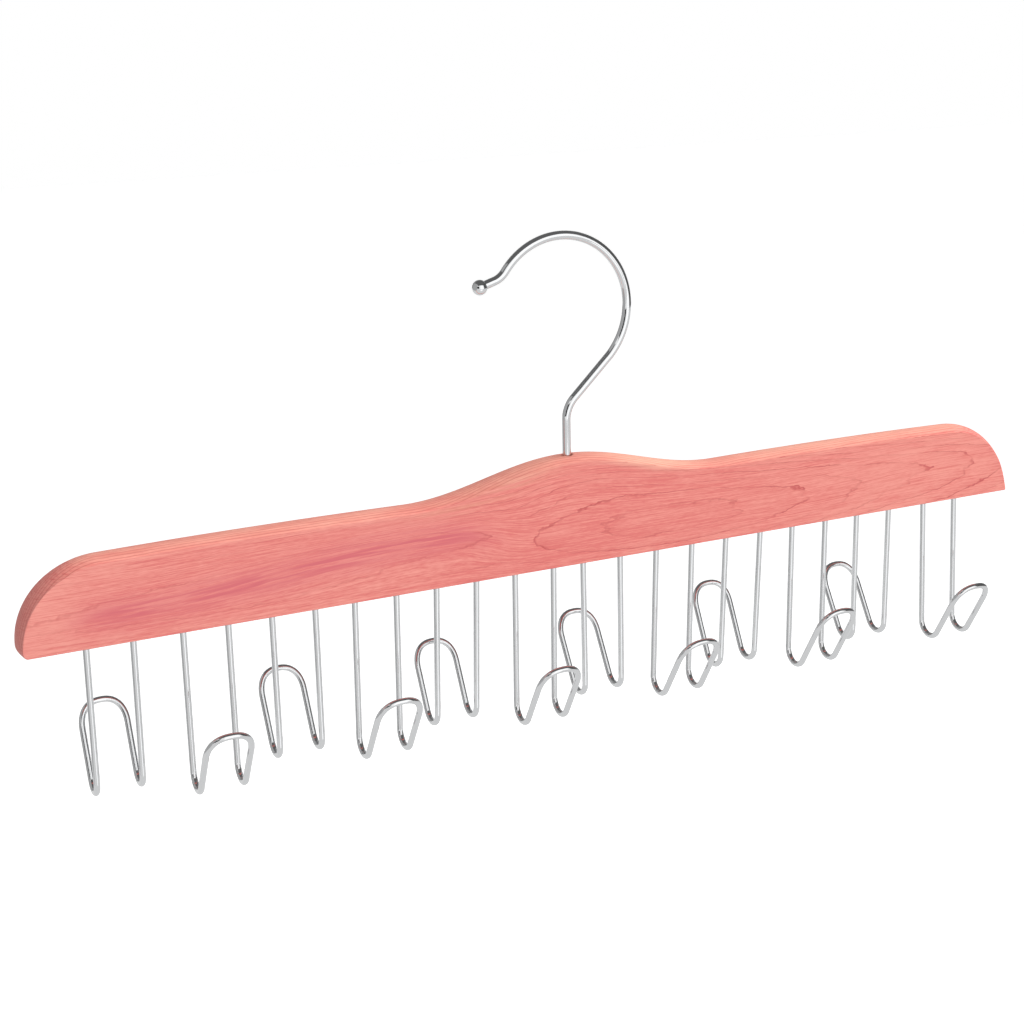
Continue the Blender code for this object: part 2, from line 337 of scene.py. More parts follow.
def angle_setting(name, description, degrees):
    """Return an angle setting, whose default is given in degrees."""
    return FloatProperty(name=name, description=description, default=math.radians(degrees),
                         unit="ROTATION")


def number_setting(name, description, default):
    """Return a setting without a unit."""
    return FloatProperty(name=name, description=description, default=default)


def colour_setting(name, description, default):
    """Return a colour setting."""
    return FloatVectorProperty(name=name, description=description, default=default,
                               subtype="COLOR", min=0, max=1)


class BarSettings(bpy.types.PropertyGroup):
    """Sizes and colours of the cedar bar."""

    shoulder_height: length_setting("Shoulder height", "Greatest height beside the hump", 0.0341)
    shoulder_crest: length_setting("Shoulder crest", "Where the shoulder is highest", 0.124)
    shoulder_fall: length_setting("Shoulder fall", "Drop of the top towards the ends", 0.0006)
    hump_rise: length_setting("Hump rise", "Height of the hump over its foot", 0.0114)
    hump_length: length_setting("Hump length", "Length of the hump along the bar", 0.139)
    end_round: length_setting("End round", "Length of the rounded ends", 0.0325)
    left_corner: length_setting("Left corner", "Radius of the left lower corner", 0.0033)
    right_corner: length_setting("Right corner", "Radius of the right lower corner", 0.0010)
    top_crown: length_setting("Top crown", "Height of the crown across the top edge", 0.0018)
    end_crown: length_setting("End crown", "Height of the crown across the ends", 0.0023)
    end_crown_place: length_setting("End crown place", "Where the crown is highest", 0.202)
    end_crown_reach: length_setting("End crown reach", "Length over which it fades", 0.030)
    left_foot_loss: number_setting("Left foot loss", "Share of crown lost at the left foot", 0.55)
    right_foot_loss: number_setting("Right foot loss", "The same at the right foot", 0.92)
    foot_reach: length_setting("Foot reach", "Height over which the crown comes back", 0.006)
    arris: length_setting("Arris", "Softening where an edge meets a face", 0.0003)
    rim: length_setting("Rim", "Width and depth of the chamfer round the stem", 0.0004)
    ring_spacing: length_setting("Ring spacing", "Distance between growth rings", 0.00075)
    heartwood: colour_setting("Heartwood", "Main colour of the wood", (0.755, 0.168, 0.150))
    pale_heartwood: colour_setting("Pale heartwood", "Its paler patches", (0.880, 0.315, 0.258))
    latewood: colour_setting("Latewood", "Colour of the ring lines", (0.550, 0.070, 0.070))
    streak: colour_setting("Streak", "Colour of the rose streak", (0.680, 0.130, 0.150))
    # This colour also paints the highlight along the top edge
    sapwood_and_top_highlight: colour_setting("Sapwood", "Colour of the pale outer wood", (0.930, 0.560, 0.400))
    tan: colour_setting("Tan", "Colour of the hump's left flank", (0.72, 0.34, 0.20))
    # This colour also paints the shade where the crowned edge meets the face, at the left end
    end_grain: colour_setting("End grain", "Colour of the sawn-across wood", (0.56, 0.20, 0.20))


class SwivelSettings(bpy.types.PropertyGroup):
    """Sizes and colours of the swivel hook, its ball and its washer."""

    wire: length_setting("Wire", "Diameter of the wire", 0.0035)
    radius: length_setting("Hook radius", "Radius of the wire's centre line", 0.0295)
    offset: length_setting("Hook offset", "Hook's centre beside the stem", 0.0017)
    slant: angle_setting("Slant", "Slant of the neck from upright", 46)
    stem_bend: length_setting("Stem bend", "Radius of the bend over the stem", 0.0125)
    tip_start: angle_setting("Tip start", "Where the round hook ends", 144)
    tip_bend: length_setting("Tip bend", "Radius of the tip's outward bend", 0.009)
    tip_slope: angle_setting("Tip slope", "Slope of the tip below level", 17)
    tip_straight: length_setting("Tip straight", "Straight wire before the ball", 0.0042)
    ball: length_setting("Ball", "Diameter of the ball", 0.006)
    ball_bore: length_setting("Ball bore", "Depth of the wire in the ball", 0.0024)
    head: length_setting("Head", "Diameter of the stem's head", 0.0062)
    head_height: length_setting("Head height", "Height of the stem's head", 0.0016)
    sides: IntProperty(name="Sides", description="Faces round the wire", default=40, min=8)
    chrome: colour_setting("Chrome", "Colour of the plating", (0.80, 0.81, 0.82))
    tarnish: colour_setting("Tarnish", "Colour of its duller specks", (0.62, 0.62, 0.63))
    zinc: colour_setting("Zinc", "Colour of the washer", (0.60, 0.60, 0.56))


class BeltHookSettings(bpy.types.PropertyGroup):
    """Sizes of the belt hooks."""

    wire: length_setting("Wire", "Diameter of the wire", 0.0025)
    leg_depth: length_setting("Leg depth", "Length of leg in the bar", 0.015)
    leg_lean: angle_setting("Leg lean", "Lean of the legs", 2.3)
    row_offset: length_setting("Row offset", "Distance of a row of legs from mid thickness", 0.0004)
    lean_start: length_setting("Lean start", "Where the lean starts below the bar", 0.002)
    cradle: length_setting("Cradle", "Radius of the wire's centre line", 0.006)
    lip_lean: angle_setting("Lip lean", "Lean of the lip", 30.2)
    lip_height: length_setting("Lip height", "Height of the lip over the cradle", 0.0283)
    arch_rise: length_setting("Arch rise", "Rise of the lip's arch", 0.011)
    squareness: number_setting("Squareness", "2 is an ellipse, more is squarer", 2.4)
    sides: IntProperty(name="Sides", description="Faces round the wire", default=28, min=8)


class StageSettings(bpy.types.PropertyGroup):
    """Camera, floor and soft light."""

    camera: FloatVectorProperty(name="Camera", description="Place of the camera",
                                default=(-0.29844, -0.59523, 0.09138), subtype="TRANSLATION")
    heading: angle_setting("Heading", "Turn to the right of straight ahead", 24.677)
    tilt: angle_setting("Tilt", "Tilt below level", 16.875)
    roll: angle_setting("Roll", "Roll about the view", -1.362)
    lens: number_setting("Lens", "Focal length in millimetres", 59.883)
    floor_height: length_setting("Floor height", "Height of the floor", -0.75)
    floor_glow: number_setting("Floor glow", "How far the floor itself shows white", 0.70)
    world: number_setting("World", "Strength of the soft light all round", 0.31)


def arc(centre, radius, start, end):
    """Return points along an arc from one angle to another, both ends included."""
    steps = max(2, math.ceil(abs(end - start) / ARC_STEP))
    angles = [start + (end - start) * count / steps for count in range(steps + 1)]
    return [(centre[0] + radius * math.cos(a), centre[1] + radius * math.sin(a)) for a in angles]


def link(name, data):
    """Link an object at the origin."""
    item = bpy.data.objects.new(name, data)
    bpy.context.scene.collection.objects.link(item)
    return item


def mesh_from(name, bm):
    """Turn a bmesh into a mesh with its faces pointing out."""
    bmesh.ops.recalc_face_normals(bm, faces=bm.faces)
    mesh = bpy.data.meshes.new(name)
    bm.to_mesh(mesh)
    bm.free()
    return mesh


def spun(name, profile, sides):
    """Return a mesh turned about Z from a profile of (radius, height) points."""
    bm = bmesh.new()
    verts = [bm.verts.new((radius, 0, height)) for radius, height in profile]
    edges = [bm.edges.new(pair) for pair in zip(verts, verts[1:])]
    bmesh.ops.spin(bm, geom=verts + edges, axis=(0, 0, 1), cent=(0, 0, 0), angle=math.tau,
                   steps=sides, use_merge=True)
    bmesh.ops.remove_doubles(bm, verts=bm.verts, dist=MERGE_DISTANCE)
    return mesh_from(name, bm)


def smooth(mesh):
    """Shade a mesh smooth and keep its corners."""
    mesh.shade_smooth()
    mesh.set_sharp_from_angle(angle=SHARP_ANGLE)


def plain_mesh(item):
    """Return what the object's modifiers make of it, as a mesh of its own."""
    graph = bpy.context.evaluated_depsgraph_get()
    return bpy.data.meshes.new_from_object(item.evaluated_get(graph))


def finished(item, node, body):
    """Hand a piece to the frame in place of the node."""
    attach(item, body)
    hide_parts(node)


def wire_tree():
    """Return the node tree that draws a round wire along a curve and sets it in place."""
    tree = bpy.data.node_groups.new("wire_along_curve", "GeometryNodeTree")
    for name, kind in (("Path", "Geometry"), ("Wire diameter", "Float"), ("Sides", "Int"),
                       ("Place", "Vector"), ("Turn", "Float"), ("Finish", "Material")):
        tree.interface.new_socket(name, in_out="INPUT", socket_type=f"NodeSocket{kind}")
    tree.interface.new_socket("Wire", in_out="OUTPUT", socket_type="NodeSocketGeometry")
    nodes = Nodes(tree)
    given = nodes.add("NodeGroupInput")
    sizes = {socket.name: Value(socket) for socket in given.outputs if socket.name}

    length = nodes.add("GeometryNodeSplineParameter", "Length")
    path = nodes.store(sizes["Path"], "wire_length", length, "FLOAT")
    circle = nodes.add("GeometryNodeCurvePrimitiveCircle", "Curve",
                       sockets={"Resolution": sizes["Sides"], "Radius": sizes["Wire diameter"] / 2})
    place = nodes.add("GeometryNodeInputPosition", "Position")
    ring = nodes.store(circle, "wire_ring", place)
    swell = nodes.add("GeometryNodeInputRadius", "Radius")
    wire = nodes.add("GeometryNodeCurveToMesh", "Mesh", sockets={
        "Curve": path, "Profile Curve": ring, "Scale": swell, "Fill Caps": True})

    along = nodes.stored("wire_length", "FLOAT")
    around = nodes.stored("wire_ring")
    spot = nodes.add("ShaderNodeVectorMath", "Vector", {"operation": "ADD"},
                     {"Vector": around, "Vector_001": nodes.vector(0.0, 0.0, along)})
    wire = nodes.store(wire, WIRE_PLACE, spot)
    turn = nodes.add("FunctionNodeEulerToRotation", "Rotation",
                     sockets={"Euler": nodes.vector(0.0, 0.0, sizes["Turn"])})
    wire = nodes.add("GeometryNodeTransform", "Geometry",
                     sockets={"Geometry": wire, "Translation": sizes["Place"], "Rotation": turn})
    wire = nodes.add("GeometryNodeSetMaterial", "Geometry",
                     sockets={"Geometry": wire, "Material": sizes["Finish"]})
    nodes.add("NodeGroupOutput", sockets={"Wire": wire})
    return tree


def bent_wire(name, path, sizes, finish, swells=None):
    """Return a wire as a plain mesh, drawn along a line of points by the wire's tree."""
    curve = bpy.data.curves.new(f"{name}_path", "CURVE")
    curve.dimensions = "3D"
    spline = curve.splines.new("POLY")
    spline.points.add(len(path) - 1)
    for index, place in enumerate(path):
        spline.points[index].co = (*place, 1)
        spline.points[index].radius = swells[index] if swells else 1.0
    guide = link(f"{name}_guide", curve)
    tree = bpy.data.node_groups.get("wire_along_curve") or wire_tree()
    modifier = guide.modifiers.new("wire", "NODES")
    modifier.node_group = tree
    values = {**sizes, "Finish": finish}
    for socket in tree.interface.items_tree:
        if socket.in_out == "INPUT" and socket.name in values:
            modifier[socket.identifier] = values[socket.name]
    mesh = plain_mesh(guide)
    bpy.data.objects.remove(guide)
    mesh.name = name
    smooth(mesh)
    return link(name, mesh)


def bar_height(sizes, x):
    """Return the height of the bar's top edge between its rounded ends."""
    foot = sizes.hump_length / 2
    reach = BAR_HIGH.x - sizes.end_round - sizes.shoulder_crest
    beside = max(abs(x), foot) - sizes.shoulder_crest
    height = sizes.shoulder_height - sizes.shoulder_fall * (beside / reach) ** 2
    if abs(x) < foot:
        height += sizes.hump_rise * (1 + math.cos(math.pi * x / foot)) / 2
    return height


def edge_crown(sizes, x, z, foot_loss):
    """Return the height of the crown across the edge, most near an end's top, least at its foot."""
    beside = (x - sizes.end_crown_place) / sizes.end_crown_reach
    crown = sizes.top_crown + (sizes.end_crown - sizes.top_crown) * math.exp(-beside ** 2)
    return crown * (1 - foot_loss * math.exp(-z / sizes.foot_reach))


def half_outline(sizes, corner, foot_loss):
    """Return the right half of the outline, from its foot to the hump, as x, height and crown."""
    corner_x = BAR_HIGH.x - corner
    round_x = BAR_HIGH.x - sizes.end_round
    rise = bar_height(sizes, round_x) - corner
    corner_steps, end_steps, top_step = 16, 60, 0.0015
    points = []
    for step in range(corner_steps):
        angle = math.pi / 2 * (step / corner_steps - 1)
        points.append((corner_x + corner * math.cos(angle), corner * (1 + math.sin(angle))))
    for step in range(end_steps):
        angle = math.pi / 2 * step / end_steps
        x = round_x + sizes.end_round * math.cos(angle)
        points.append((x, corner + rise * math.sin(angle)))
    top_steps = round(round_x / top_step)
    for step in range(top_steps):
        x = round_x * (1 - step / top_steps)
        points.append((x, bar_height(sizes, x)))
    return [(x, z, edge_crown(sizes, x, z, foot_loss)) for x, z in points]


def bar_outline(sizes):
    """Return the outline at mid thickness, anticlockwise from below, as x, height and crown."""
    right = half_outline(sizes, sizes.right_corner, sizes.right_foot_loss)
    left = half_outline(sizes, sizes.left_corner, sizes.left_foot_loss)
    mirrored = [(-x, z, crown) for x, z, crown in reversed(left)]
    return right + [(0, bar_height(sizes, 0), sizes.top_crown)] + mirrored


def crowned_ring(outline, share, margin=0.0):
    """Return the outline drawn in by its crown, this share of the way to a face, and a margin."""
    ring = []
    for index, (x, z, crown) in enumerate(outline):
        before = outline[index - 1]
        after = outline[(index + 1) % len(outline)]
        run = math.hypot(after[0] - before[0], after[1] - before[1])
        inward_x, inward_z = (before[1] - after[1]) / run, (after[0] - before[0]) / run
        depth = crown * share ** 2
        ring.append((x + inward_x * (depth + margin),
                     z + min(inward_z, 0) * depth + inward_z * margin))
    return ring


def bar_blank(sizes):
    """Return the bar's mesh before drilling, with crowned edges and softened arrises."""
    outline = bar_outline(sizes)
    crown_steps, arris_turns = 8, (30, 60, 90)
    half = (BAR_HIGH.y - BAR_LOW.y) / 2
    sections = []
    for step in range(crown_steps + 1):
        place = min(step / crown_steps * half, half - sizes.arris)
        sections.append((place, crowned_ring(outline, place / half)))
    for turn in arris_turns:
        angle = math.radians(turn)
        place = half - sizes.arris * (1 - math.sin(angle))
        sections.append((place, crowned_ring(outline, 1 - sizes.arris / half,
                                             sizes.arris * (1 - math.cos(angle)))))
    sections.append((half, crowned_ring(outline, 1, 2 * sizes.arris)))
    bm = bmesh.new()
    loops = []
    for side, row in ((-1, sections[:0:-1]), (1, sections)):
        for place, ring in row:
            loops.append([bm.verts.new((x, side * place, z + BAR_LOW.z)) for x, z in ring])
    for ring, following in zip(loops, loops[1:]):
        for index in range(len(ring)):
            bm.faces.new((ring[index - 1], ring[index], following[index], following[index - 1]))
    bm.faces.new(loops[0])
    bm.faces.new(loops[-1])
    return mesh_from("bar", bm)


def drill(item, shape):
    """Cut a mesh's shape out of an object."""
    tool = link(shape.name, shape)
    modifier = item.modifiers.new(shape.name, "BOOLEAN")
    modifier.operation = "DIFFERENCE"
    modifier.solver = "EXACT"
    modifier.object = tool
    mesh = plain_mesh(item)
    item.modifiers.clear()
    bpy.data.objects.remove(tool)
    item.data = mesh


def leg_holes(belt):
    """Return the blind holes for the belt hooks' legs, as cylinders."""
    hole_sides = 24
    depth = belt.leg_depth + OVERRUN
    radius = belt.wire / 2 + FIT / 2
    bm = bmesh.new()
    for node in BELT_HOOKS:
        low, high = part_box(node)
        row = math.copysign(belt.row_offset, low.y + high.y)
        for x in (low.x + belt.wire / 2, high.x - belt.wire / 2):
            made = bmesh.ops.create_cone(bm, cap_ends=True, segments=hole_sides, radius1=radius,
                                         radius2=radius, depth=depth)
            place = (x, row, BAR_LOW.z - OVERRUN + depth / 2)
            bmesh.ops.translate(bm, verts=made["verts"], vec=place)
    return mesh_from("leg_holes", bm)


def stem_bore(wire, rim):
    """Return the stem's bore, chamfered above, and the counterbore below, as a turned shape."""
    bore_sides = 48
    radius = wire / 2 + STEM_CLEARANCE
    counterbore = WASHER_HIGH.x + FIT
    ledge = WASHER_HIGH.z + FIT
    bottom, top = BAR_LOW.z - OVERRUN, BAR_HIGH.z + OVERRUN
    profile = [(0, bottom), (counterbore, bottom), (counterbore, ledge), (radius, ledge),
               (radius, BAR_HIGH.z - rim), (radius + rim, BAR_HIGH.z), (radius + rim, top),
               (0, top)]
    return spun("stem_bore", profile, bore_sides)


class Grain:
    """Places in the bar in millimetres, and noises that lie level in it or follow its grain."""

    def __init__(self, nodes):
        self.nodes = nodes
        self.x, self.y, height = nodes.place()
        self.z = height - BAR_LOW.z * MILLIMETRES
        self.ridge = self.x.profile(*RIDGE)
        bulge = (self.ridge - PITH_HEIGHT) * self.z.hill(*RIDGE_SPREAD)
        lift = HUMP_LIFT * self.x.hill(*HUMP_SPREAD) * self.z.step(*HUMP_BETWEEN)
        self.course = self.z - bulge - lift

    def level(self, length, depth, height):
        """Return a noise of level cells of this size in millimetres."""
        return self.nodes.noise(self.nodes.vector(self.x / length, self.y / depth, self.z / height))

    def along(self, length, depth, height, detail=2.0, shift=0.0):
        """Return a noise of cells of this size in millimetres that follow the grain."""
        place = self.nodes.vector(self.x / length + shift, self.course / height, self.y / depth)
        return self.nodes.noise(place, detail)


def ring_radius(grain):
    """Return the distance from the pith by which the growth rings are counted, in millimetres."""
    x = grain.x

    def bend(centre):
        """Return a smooth rise to both sides of a centre."""
        away = x - centre
        return (away * away + BEND_WIDTH * BEND_WIDTH).root() - BEND_WIDTH

    arched = x.step(*ARCHED_BETWEEN)
    straight = STRAIGHT_START + STRAIGHT_SLOPE * bend(STRAIGHT_CENTRE)
    square = (1 - arched) * straight + arched * ARCHED_SLOPE * bend(ARCHED_CENTRE)
    square = x.profile(square, hills=RING_HILLS)
    drift = 0.8 * grain.level(70, 20, 12).signed()
    jitter = 0.22 * grain.level(3.6, 3, 2.0).signed()
    sway = 0.5 * grain.level(24, 8, 4).signed()
    height = grain.course - PITH_HEIGHT + drift
    depth = PITH_DEPTH - (grain.y - BAR_LOW.y * MILLIMETRES)
    radius = (square.at_least(0) + depth * depth + height * height).root()
    return radius + jitter + sway


def ring_lines(grain, radius, spacing):
    """Return the dark lines that close the growth rings, each broken and some fainter."""
    ring = radius / spacing
    phase = ring.fraction()
    dice = grain.nodes.add("ShaderNodeTexWhiteNoise", "Value", {"noise_dimensions": "1D"},
                           {"W": ring.whole()})
    fade = grain.level(22, 8, 5).step(0.36, 0.60)
    line = phase.profile(0.0, LINE_RISE_SHARES) * (1 - phase.step(*LINE_END_SHARES))
    return line * dice.lifted(0.45) * fade.lifted(0.2) * grain.x.step(*LINES_BETWEEN).lifted(0.4)


def edge_lines(radius):
    """Return the broader ring lines that show across the bar's edges."""
    phase = (radius / EDGE_RING_SPACING).fraction()
    return phase.step(*EDGE_LINE_RISE_SHARES) * (1 - phase.step(*EDGE_LINE_END_SHARES))


def cedar_finish(sizes):
    """Return the cedar: rings about a pith behind the bar, fibres, a rose streak, pale outer wood
    with a painted top highlight, and painted shade at the left edge.
    """
    finish, nodes, shader = new_finish("cedar_wood")
    grain = Grain(nodes)
    x = grain.x
    tilt_x, tilt_y, _ = nodes.split(nodes.add("ShaderNodeTexCoord", "Normal"))
    edge = 1 - abs(tilt_y).step(*EDGE_SHARES)
    end_grain = abs(tilt_x).step(*END_GRAIN_SHARES)
    # Painted shade: a dark line where the crowned edge meets the face, at the left end only
    crease_shade = abs(tilt_y).hill(*CREASE_SHADE_SPREAD_SHARES) * (1 - x.step(*CREASE_SHADE_BETWEEN))

    radius = ring_radius(grain)
    line = (1 - edge) * ring_lines(grain, radius, sizes.ring_spacing * MILLIMETRES)
    edge_line = edge * edge_lines(radius)
    strand = grain.along(20, 2.5, 0.42, detail=3.0).signed()
    thread = grain.along(24, 3, 0.50, shift=7).step(0.57, 0.68)
    fibre = grain.along(3, 0.8, 0.22).signed()
    lengthwise = grain.along(30, 6, 1.8, detail=3.0).step(0.38, 0.62)
    fleck = grain.level(2.2, 0.35, 0.25).step(0.66, 0.80)
    cloud = grain.level(45, 16, 7)

    rose = grain.z - grain.ridge
    reach = x.step(*STREAK_START_BETWEEN) * (1 - x.step(*STREAK_END_BETWEEN))
    streak = rose.hill(0, STREAK_WIDTH) * (0.38 + 0.42 * lengthwise)
    streak = reach * (streak + 0.45 * rose.hill(0, STREAK_CORE_WIDTH) * lengthwise)
    # Pale outer wood under the top edge, which also paints the highlight where light from above
    # falls
    top = grain.z - x.profile(SAP_AND_HIGHLIGHT_HEIGHT, hills=(SAP_AND_HIGHLIGHT_HUMP,))
    sap_and_top_highlight = (top / SAP_AND_HIGHLIGHT_FADE + 0.5 * cloud).step(-0.55, 0.80) * x.profile(*SAP_AND_HIGHLIGHT_AMOUNT)
    tan = x.hill(*TAN_SPREAD) * top.hill(*TAN_HEIGHT_SPREAD) * lengthwise
    tone = x.profile(*TONE) + 0.8 * cloud.signed()
    tone = tone + 2.4 * strand + 1.8 * fibre - 0.60 * thread - 0.3 * fleck

    colour = nodes.blend(tone, opaque(sizes.heartwood), opaque(sizes.pale_heartwood))
    # The pale outer wood's layer also paints the highlight along the top edge
    layers = ((streak, sizes.streak), (0.35 * tan, sizes.tan), (0.75 * sap_and_top_highlight, sizes.sapwood_and_top_highlight),
              (0.95 * line + 0.60 * edge_line, sizes.latewood),
              # The end grain colour also paints shade where the crowned edge meets the face
              (0.22 * end_grain + 0.32 * crease_shade, sizes.end_grain))
    for share, tint in layers:
        colour = nodes.blend(share, colour, opaque(tint))
    nodes.feed(shader, "Base Color", colour)
    nodes.feed(shader, "Roughness", 0.50 + 0.2 * fibre + 0.1 * line + 0.1 * end_grain)
    nodes.feed(shader, "Coat Weight", 0.10 * (1 - 0.5 * end_grain))
    nodes.feed(shader, "Coat Roughness", 0.35)
    height = 0.6 * fibre + 0.8 * strand - 0.35 * line - 0.3 * fleck
    nodes.relief(shader, height, strength=0.30, distance=0.00010)
    return finish


def plate(nodes, shader, colour, roughness):
    """Make a shader metal of this colour."""
    nodes.feed(shader, "Base Color", colour)
    nodes.feed(shader, "Metallic", 1.0)
    nodes.feed(shader, "Roughness", roughness)


def chrome_finish(name, sizes, roughness, seed):
    """Return polished plating over drawn wire, whose faint waves and lines run along the wire."""
    finish, nodes, shader = new_finish(name)
    spot = nodes.add("ShaderNodeAttribute", "Vector", {"attribute_name": WIRE_PLACE})
    u, v, along = [value * MILLIMETRES for value in nodes.split(spot)]

    def cells(width, length, detail):
        """Return a noise whose cells have this width, and this length along the wire."""
        return nodes.noise(nodes.vector(u / width, v / width, along / length + seed), detail)

    wave = cells(1.3, 9, 1.0)
    drawn = cells(0.16, 5, 2.0)
    speck = cells(0.5, 0.7, 2.0).step(0.66, 0.8)
    shade = nodes.blend(0.35 * speck + 0.25 * drawn, opaque(sizes.chrome), opaque(sizes.tarnish))
    plate(nodes, shader, shade, roughness + 0.05 * drawn + 0.12 * speck)
    nodes.relief(shader, wave + 0.12 * drawn - 0.15 * speck, strength=0.25, distance=0.00008)
    return finish


def turned_finish(name, colour, roughness):
    """Return polished metal with faint clouds and darker specks in its plating."""
    finish, nodes, shader = new_finish(name)
    dark_share, speck_size = 0.75, 0.4
    place = nodes.place()
    cloud = nodes.noise(nodes.vector(*place))
    fine = nodes.vector(*[value / speck_size for value in place])
    speck = nodes.noise(fine).step(0.64, 0.8)
    dark = [dark_share * part for part in colour]
    shade = nodes.blend(0.5 * speck + 0.2 * cloud, opaque(colour), opaque(dark))
    plate(nodes, shader, shade, roughness + 0.06 * cloud + 0.1 * speck)
    nodes.relief(shader, cloud - 0.2 * speck, strength=0.2, distance=0.00005)
    return finish


def hook_centre(sizes):
    """Return the centre of the round hook, which puts its top at the top of the frame."""
    return -sizes.offset, CAD_BOX[1].z - sizes.wire / 2 - sizes.radius


def stem_bend(sizes):
    """Return the stem's bend from upright to the slant that meets the round hook."""
    centre = hook_centre(sizes)
    touch_x = centre[0] + sizes.radius * math.cos(sizes.slant)
    touch_z = centre[1] - sizes.radius * math.sin(sizes.slant)
    corner_z = touch_z - touch_x / math.tan(sizes.slant)
    start_z = corner_z - sizes.stem_bend * math.tan(sizes.slant / 2)
    return arc((sizes.stem_bend, start_z), sizes.stem_bend, math.pi, math.pi - sizes.slant)


def tip_bend(sizes):
    """Return the bend that kicks the hook's tip outward."""
    centre = hook_centre(sizes)
    reach = sizes.radius + sizes.tip_bend
    bend_centre = (centre[0] + reach * math.cos(sizes.tip_start),
                   centre[1] + reach * math.sin(sizes.tip_start))
    return arc(bend_centre, -sizes.tip_bend, sizes.tip_start, math.pi / 2 + sizes.tip_slope)


def tip_point(sizes, distance):
    """Return the point this far beyond the tip's bend."""
    x, z = tip_bend(sizes)[-1]
    return x - distance * math.cos(sizes.tip_slope), z - distance * math.sin(sizes.tip_slope)


def belt_hook_side(sizes, drop, lip_lean, stretch):
    """Return one leg of a belt hook and its rise to the lip, as (outward, height) points."""
    leg_lean = sizes.leg_lean
    centre_height = sizes.wire / 2 + sizes.cradle - drop
    bend_start = centre_height - sizes.cradle * math.sin(leg_lean)
    offset = (-sizes.lean_start - bend_start) * math.tan(leg_lean)
    centre = (offset + sizes.cradle * math.cos(leg_lean), centre_height)
    bend = arc(centre, sizes.cradle, math.pi + leg_lean, math.tau - lip_lean)
    rise = sizes.wire / 2 - drop + sizes.lip_height + stretch - bend[-1][1]
    straight = rise / math.cos(sizes.lip_lean) - sizes.arch_rise
    lip = (bend[-1][0] + straight * math.sin(lip_lean), bend[-1][1] + straight * math.cos(lip_lean))
    return [(0, sizes.leg_depth - FIT), (0, -sizes.lean_start)] + bend + [lip]


def lip_arch(sizes, start, spacing, lip_lean):
    """Return the inner points of the arch that joins a belt hook's sides, from left to right."""
    steps = 60
    points = []
    for step in range(1, steps):
        angle = math.pi * (1 - step / steps)
        across = abs(math.cos(angle)) ** (2 / sizes.squareness)
        along = sizes.arch_rise * math.sin(angle) ** (2 / sizes.squareness)
        x = math.copysign(across, math.cos(angle)) * spacing / 2
        outward, height = along * math.sin(lip_lean), along * math.cos(lip_lean)
        points.append((x, start[0] + outward, start[1] + height))
    return points


class HANGER_OT_bar(bpy.types.Operator):
    """Make the cedar bar with its bore and leg holes"""

    bl_idname = "hanger.bar"
    bl_label = "Cedar bar"

    def execute(self, context):
        """Build the bar, drill it and give it its wood."""
        sizes = context.scene.hanger_bar
        bar = link("bar", bar_blank(sizes))
        drill(bar, leg_holes(context.scene.hanger_belt_hooks))
        drill(bar, stem_bore(context.scene.hanger_swivel.wire, sizes.rim))
        bar.data.materials.clear()
        bar.data.materials.append(cedar_finish(sizes))
        smooth(bar.data)
        finished(bar, "cedar_bar", "hanger")
        return {"FINISHED"}


class HANGER_OT_swivel_hook(bpy.types.Operator):
    """Make the swivel hook's wire"""

    bl_idname = "hanger.swivel_hook"
    bl_label = "Swivel hook"

    def execute(self, context):
        """Draw the wire from its upset head to its tip inside the ball."""
        sizes = context.scene.hanger_swivel
        head_top = WASHER_LOW.z - FIT
        head_foot = head_top - sizes.head_height
        chamfer = sizes.head / 12
        neck = FIT / 3
        swell = sizes.head / sizes.wire
        head = [(head_foot, swell - 2 * chamfer / sizes.wire), (head_foot + chamfer, swell),
                (head_top, swell), (head_top + neck, 1.0)]
        round_hook = arc(hook_centre(sizes), sizes.radius, -sizes.slant, sizes.tip_start)
        wire_end = [tip_point(sizes, sizes.tip_straight + sizes.ball_bore - FIT)]
        line = [(0, height) for height, _ in head]
        line += stem_bend(sizes) + round_hook[1:] + tip_bend(sizes)[1:] + wire_end
        swells = [factor for _, factor in head] + [1.0] * (len(line) - len(head))
        finish = chrome_finish("swivel_chrome", sizes, roughness=0.05, seed=0)
        hook = bent_wire("swivel_wire", [(x, 0, z) for x, z in line],
                         {"Wire diameter": sizes.wire, "Sides": sizes.sides}, finish, swells)
        finished(hook, "swivel_hook", "hook")
        return {"FINISHED"}


class HANGER_OT_ball(bpy.types.Operator):
    """Make the ball on the hook's tip"""

    bl_idname = "hanger.ball"
    bl_label = "Tip ball"

    def execute(self, context):
        """Turn the ball with the blind bore that the wire sits in."""
        sizes = context.scene.hanger_swivel
        radius = sizes.ball / 2
        bore = sizes.wire / 2 + FIT
        mouth = math.asin(bore / radius)
        steps, sides = 40, 64
        profile = []
        for step in range(steps + 1):
            angle = math.pi + (mouth - math.pi) * step / steps
            profile.append((radius * math.sin(angle), radius * math.cos(angle)))
        profile[0] = (0, -radius)
        floor = radius * math.cos(mouth) - sizes.ball_bore
        mesh = spun("ball", profile + [(bore, floor), (0, floor)], sides)
        x, z = tip_point(sizes, sizes.tip_straight + radius * math.cos(mouth))
        turn = Matrix.Rotation(math.pi / 2 - sizes.tip_slope, 4, "Y")
        mesh.transform(Matrix.Translation((x, 0, z)) @ turn)
        smooth(mesh)
        mesh.materials.append(turned_finish("ball_chrome", sizes.chrome, roughness=0.04))
        finished(link("ball", mesh), "hook_tip_ball", "hook")
        return {"FINISHED"}


